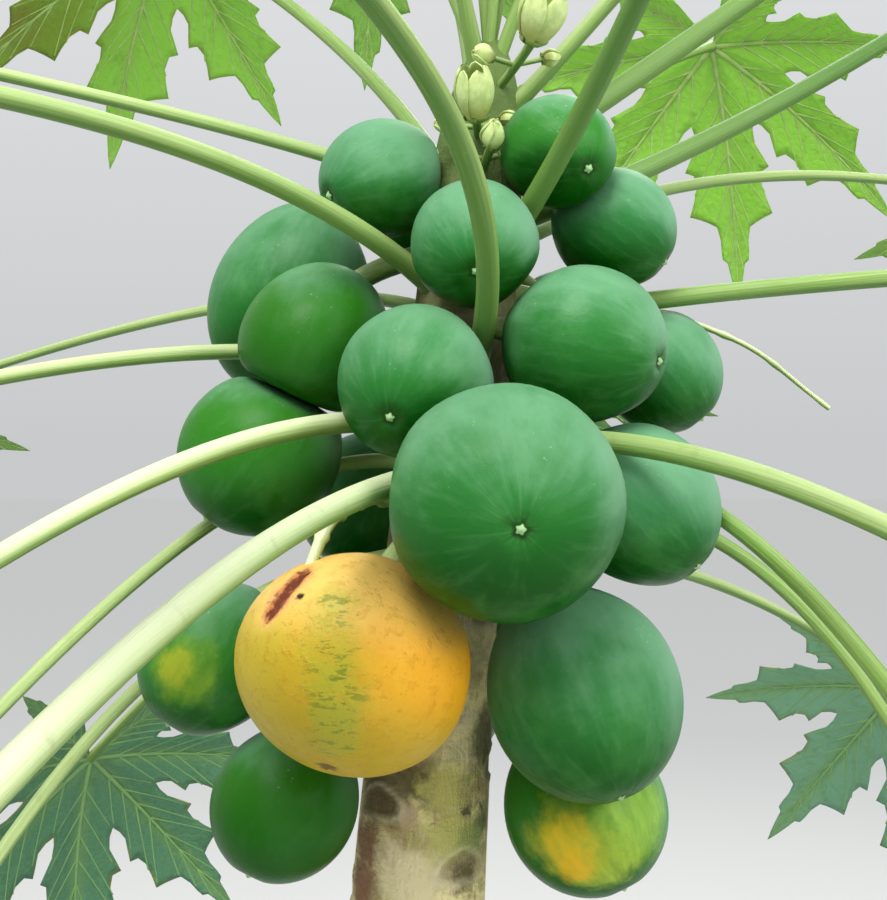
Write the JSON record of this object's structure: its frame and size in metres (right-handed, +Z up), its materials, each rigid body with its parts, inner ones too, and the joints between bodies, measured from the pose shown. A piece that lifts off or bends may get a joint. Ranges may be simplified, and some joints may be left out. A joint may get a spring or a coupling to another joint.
{
  "type": "papaya tree",
  "caption": "Young fruiting papaya tree: a leaning single trunk, round fruit packed round its upper part and long-stalked lobed leaves on all sides.",
  "frame": {"origin": "on the ground, at the middle of the trunk's flat cut", "axes": "+Z up the plant, -Y towards the side the picture shows, +X to that side's right, the way the trunk leans"},
  "size_m": [2.0005, 1.9211, 2.1269],
  "materials": {
    "bark": "rough, with old leaf scars",
    "green_skin": "waxy, with a pale bloom",
    "ripe_skin": "satin",
    "turning_skin": "waxy",
    "leaf": "satin",
    "petal": "matt"
  },
  "bodies": {
    "root": {"trunk": "bark", "leaf_01": "leaf", "leaf_02": "leaf", "leaf_03": "leaf", "leaf_04": "leaf", "leaf_05": "leaf", "leaf_06": "leaf", "leaf_07": "leaf", "leaf_08": "leaf", "leaf_09": "leaf", "leaf_10": "leaf", "leaf_11": "leaf", "leaf_12": "leaf", "leaf_13": "leaf", "leaf_14": "leaf", "leaf_15": "leaf", "leaf_16": "leaf", "leaf_17": "leaf", "leaf_18": "leaf", "leaf_19": "leaf", "leaf_20": "leaf", "leaf_21": "leaf", "leaf_22": "leaf", "leaf_23": "leaf", "young_leaf_01": "leaf", "young_leaf_02": "leaf", "young_leaf_03": "leaf", "young_leaf_04": "leaf", "young_leaf_05": "leaf", "fruit_01": "green_skin", "fruit_02": "green_skin", "fruit_03": "green_skin", "fruit_04": "green_skin", "fruit_05": "green_skin", "fruit_06": "green_skin", "fruit_07": "green_skin", "fruit_08": "green_skin", "fruit_09": "green_skin", "fruit_10": "green_skin", "fruit_11": "green_skin", "fruit_12": "green_skin", "fruit_13": "ripe_skin", "fruit_14": "green_skin", "fruit_15": "turning_skin", "fruit_16": "green_skin", "fruit_17": "turning_skin", "fruit_18": "green_skin", "fruit_19": "green_skin", "fruit_20": "green_skin", "fruit_21": "green_skin", "fruit_22": "green_skin", "fruit_23": "green_skin", "fruit_24": "green_skin", "fruit_25": "green_skin", "fruit_26": "green_skin", "flower_bud_01": "petal", "flower_bud_02": "petal", "flower_bud_03": "petal"}
  },
  "joints": []
}
